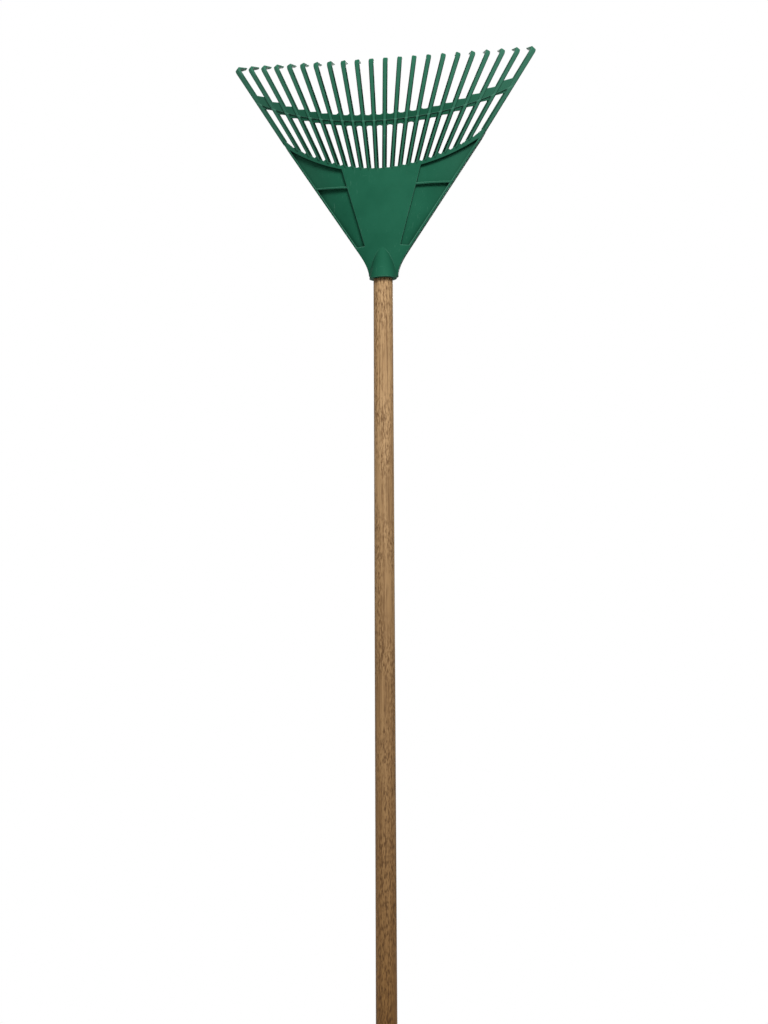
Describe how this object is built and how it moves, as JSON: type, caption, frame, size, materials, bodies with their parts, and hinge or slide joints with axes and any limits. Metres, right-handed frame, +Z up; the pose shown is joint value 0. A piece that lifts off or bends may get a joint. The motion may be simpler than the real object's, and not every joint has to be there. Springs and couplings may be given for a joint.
{
  "type": "lawn rake",
  "caption": "Long-handled lawn rake: a green moulded-plastic fan head with hooked tines, a crossband and a tapered socket on a round wooden handle.",
  "frame": {"origin": "on the handle axis, where the handle's straight length ends and its tapered end starts, just below the socket mouth", "axes": "+Z up the handle towards the head, +X across the fan, the convex back of the fan facing -Y and the hooks pointing to +Y"},
  "size_m": [0.4084, 0.0771, 1.4929],
  "materials": {
    "green_plastic": "matt moulded, lightly scuffed",
    "handle_wood": "bare turned wood, weathered",
    "screw_steel": "zinc plated"
  },
  "bodies": {
    "root": {"rake_head": "green_plastic", "handle": "handle_wood", "socket_screw": "screw_steel"}
  },
  "joints": []
}
